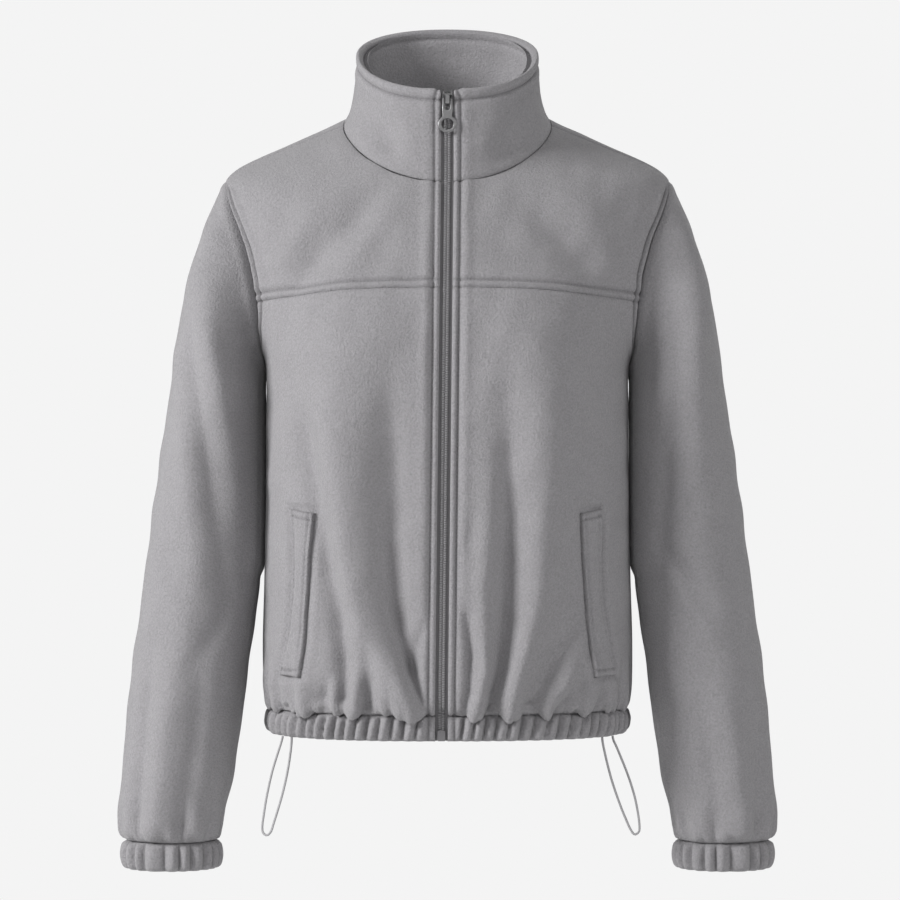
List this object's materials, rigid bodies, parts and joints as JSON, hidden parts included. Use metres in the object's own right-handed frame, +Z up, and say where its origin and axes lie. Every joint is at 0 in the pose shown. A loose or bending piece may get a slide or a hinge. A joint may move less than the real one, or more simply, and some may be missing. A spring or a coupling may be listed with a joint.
{
  "type": "fleece zip jacket",
  "caption": "Cropped fleece jacket, filled out and hollow: stand collar, full-length front zip, front yokes, welt pockets, gathered hem and cuffs, cord loops at the hem.",
  "frame": {"origin": "middle of the neck opening, level with the neck points of the shoulders, where the wearer's neck and shoulders hold the jacket up", "axes": "+Z up along the body, the front with its zip faces -Y, and +X is the wearer's left"},
  "size_m": [0.5866, 0.2457, 0.7586],
  "materials": {
    "fleece": "brushed polyester fleece, matt with a short even nap",
    "zip_tape": "woven polyester tape",
    "zip_coil": "spun nylon coil",
    "zip_metal": "satin grey enamel on die-cast zinc",
    "elastic_cord": "braided polyester over rubber"
  },
  "bodies": {
    "jacket": {"front_right": "fleece", "front_left": "fleece", "yoke_front_right": "fleece", "yoke_front_left": "fleece", "back": "fleece", "collar": "fleece", "sleeve_right": "fleece", "sleeve_left": "fleece", "cuff_right": "fleece", "cuff_left": "fleece", "hem_band": "fleece", "pocket_welt_right": "fleece", "pocket_welt_left": "fleece", "zip_tape_right": "zip_tape", "zip_tape_left": "zip_tape", "zip_chain": "zip_coil", "zip_box": "zip_metal", "zip_slider": "zip_metal", "hem_cord_right": "elastic_cord", "hem_cord_left": "elastic_cord"},
    "pull_tab": {"zip_pull": "zip_metal"}
  },
  "joints": [
    {"name": "pull_swing", "type": "hinge", "parent": "jacket", "child": "pull_tab", "pos_m": [0, -0.0812, 0.0146], "axis": [-1, 0, 0], "range_deg": [0, 150]}
  ]
}
